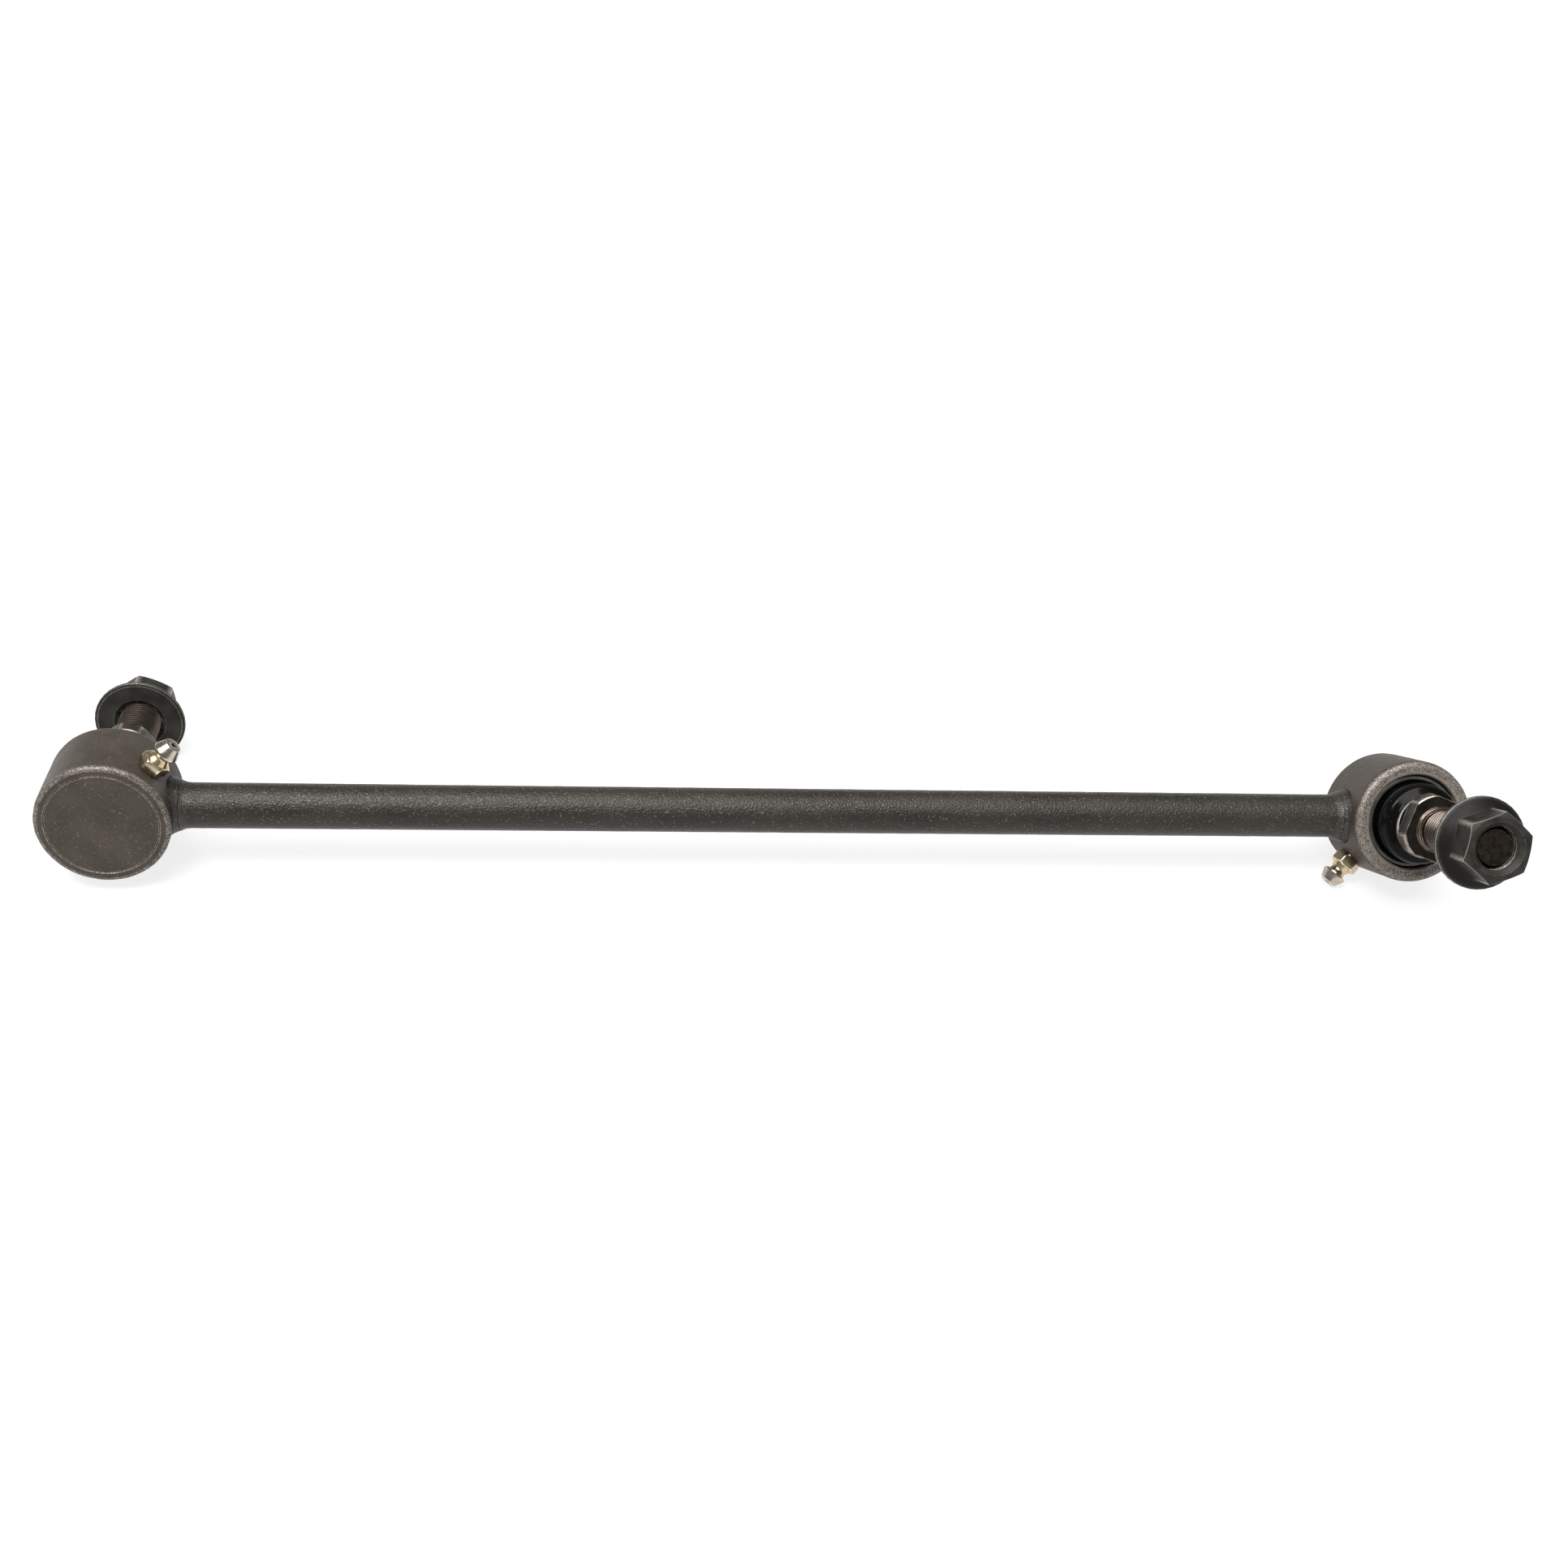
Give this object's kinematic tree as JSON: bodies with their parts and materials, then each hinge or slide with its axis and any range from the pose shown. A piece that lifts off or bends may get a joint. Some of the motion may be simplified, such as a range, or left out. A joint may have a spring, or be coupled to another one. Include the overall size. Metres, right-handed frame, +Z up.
{
  "type": "stabiliser bar link",
  "caption": "Straight suspension link with a greasable ball joint at each end, opposed threaded studs with flange nuts, rubber boots and grease fittings.",
  "frame": {"origin": "under the middle of the link's box, on the flat surface that the link lies on", "axes": "+X along the rod from the left joint to the right joint, +Z up from the surface it lies on; the left stud points along +Y and the right stud along -Y and up"},
  "size_m": [0.4168, 0.1202, 0.0639],
  "materials": {
    "coated_steel": "satin dark brown-grey coating over forged steel, finely speckled, worn bright on rounded edges",
    "dark_rod": "satin black-grey coating over drawn bar, fine speckle",
    "weld": "coated weld bead, rough",
    "stud_steel": "bare oiled steel with a brown tint, bright on worn edges",
    "black_nut": "black phosphate and oil, bright on worn edges",
    "boot_rubber": "glossy black rubber",
    "spring_steel": "plain spring steel",
    "sintered_iron": "oil-filled sintered metal, matt",
    "yellow_zinc": "yellow zinc plated steel, bright",
    "ball_steel": "polished steel"
  },
  "bodies": {
    "link": {"link_rod": "dark_rod", "left_housing": "coated_steel", "left_cover_plate": "coated_steel", "left_weld_bead": "weld", "left_preload_spring": "spring_steel", "left_lower_bearing": "sintered_iron", "left_upper_bearing": "sintered_iron", "left_boot_seat_ring": "spring_steel", "left_grease_fitting": "yellow_zinc", "left_check_spring": "spring_steel", "right_housing": "coated_steel", "right_cover_plate": "coated_steel", "right_weld_bead": "weld", "right_preload_spring": "spring_steel", "right_lower_bearing": "sintered_iron", "right_upper_bearing": "sintered_iron", "right_boot_seat_ring": "spring_steel", "right_grease_fitting": "yellow_zinc", "right_check_spring": "spring_steel"},
    "left_boot_cup": {"left_boot": "boot_rubber"},
    "left_boot_lip": {"left_boot_neck_ring": "spring_steel"},
    "left_stud": {"left_ball_stud": "stud_steel"},
    "left_nut": {"left_flange_nut": "black_nut"},
    "left_check": {"left_check_ball": "ball_steel"},
    "right_boot_cup": {"right_boot": "boot_rubber"},
    "right_boot_lip": {"right_boot_neck_ring": "spring_steel"},
    "right_stud": {"right_ball_stud": "stud_steel"},
    "right_nut": {"right_flange_nut": "black_nut"},
    "right_check": {"right_check_ball": "ball_steel"}
  },
  "joints": [
    {"name": "left_tilt_about_rod", "type": "hinge", "parent": "link", "child": "left_boot_cup", "pos_m": [-0.19, -0.00155, 0.02059], "axis": [1, 0, 0], "range_deg": [-18, 18], "deforming": ["left_boot"]},
    {"name": "left_tilt_across_rod", "type": "hinge", "parent": "left_boot_cup", "child": "left_boot_lip", "pos_m": [-0.19, -0.00155, 0.02059], "axis": [0, -0.1743, -0.9847], "range_deg": [-18, 18]},
    {"name": "left_stud_spin", "type": "hinge", "parent": "left_boot_lip", "child": "left_stud", "pos_m": [-0.19, -0.00155, 0.02059], "axis": [0, 0.9876, -0.1571], "continuous": true},
    {"name": "left_nut_travel", "type": "slide", "parent": "left_stud", "child": "left_nut", "axis": [0, 0.9876, -0.1571], "range_m": [-0.0174, 0.0148]},
    {"name": "left_check_ball_travel", "type": "slide", "parent": "link", "child": "left_check", "axis": [0.682, 0.1275, 0.7202], "range_m": [-0.0008, 0], "stiffness_N_per_m": 200, "springref_m": 0.002, "deforming": ["left_check_spring"]},
    {"name": "right_tilt_about_rod", "type": "hinge", "parent": "link", "child": "right_boot_cup", "pos_m": [0.19, -0.00155, 0.02059], "axis": [1, 0, 0], "range_deg": [-18, 18], "deforming": ["right_boot"]},
    {"name": "right_tilt_across_rod", "type": "hinge", "parent": "right_boot_cup", "child": "right_boot_lip", "pos_m": [0.19, -0.00155, 0.02059], "axis": [0, -0.5481, -0.8364], "range_deg": [-18, 18]},
    {"name": "right_stud_spin", "type": "hinge", "parent": "right_boot_lip", "child": "right_stud", "pos_m": [0.19, -0.00155, 0.02059], "axis": [-0.027, -0.8361, 0.5479], "continuous": true},
    {"name": "right_nut_travel", "type": "slide", "parent": "right_stud", "child": "right_nut", "axis": [-0.027, -0.8361, 0.5479], "range_m": [-0.0227, 0.0095]},
    {"name": "right_check_ball_travel", "type": "slide", "parent": "link", "child": "right_check", "axis": [-0.682, -0.4009, -0.6117], "range_m": [-0.0008, 0], "stiffness_N_per_m": 200, "springref_m": 0.002, "deforming": ["right_check_spring"]}
  ]
}
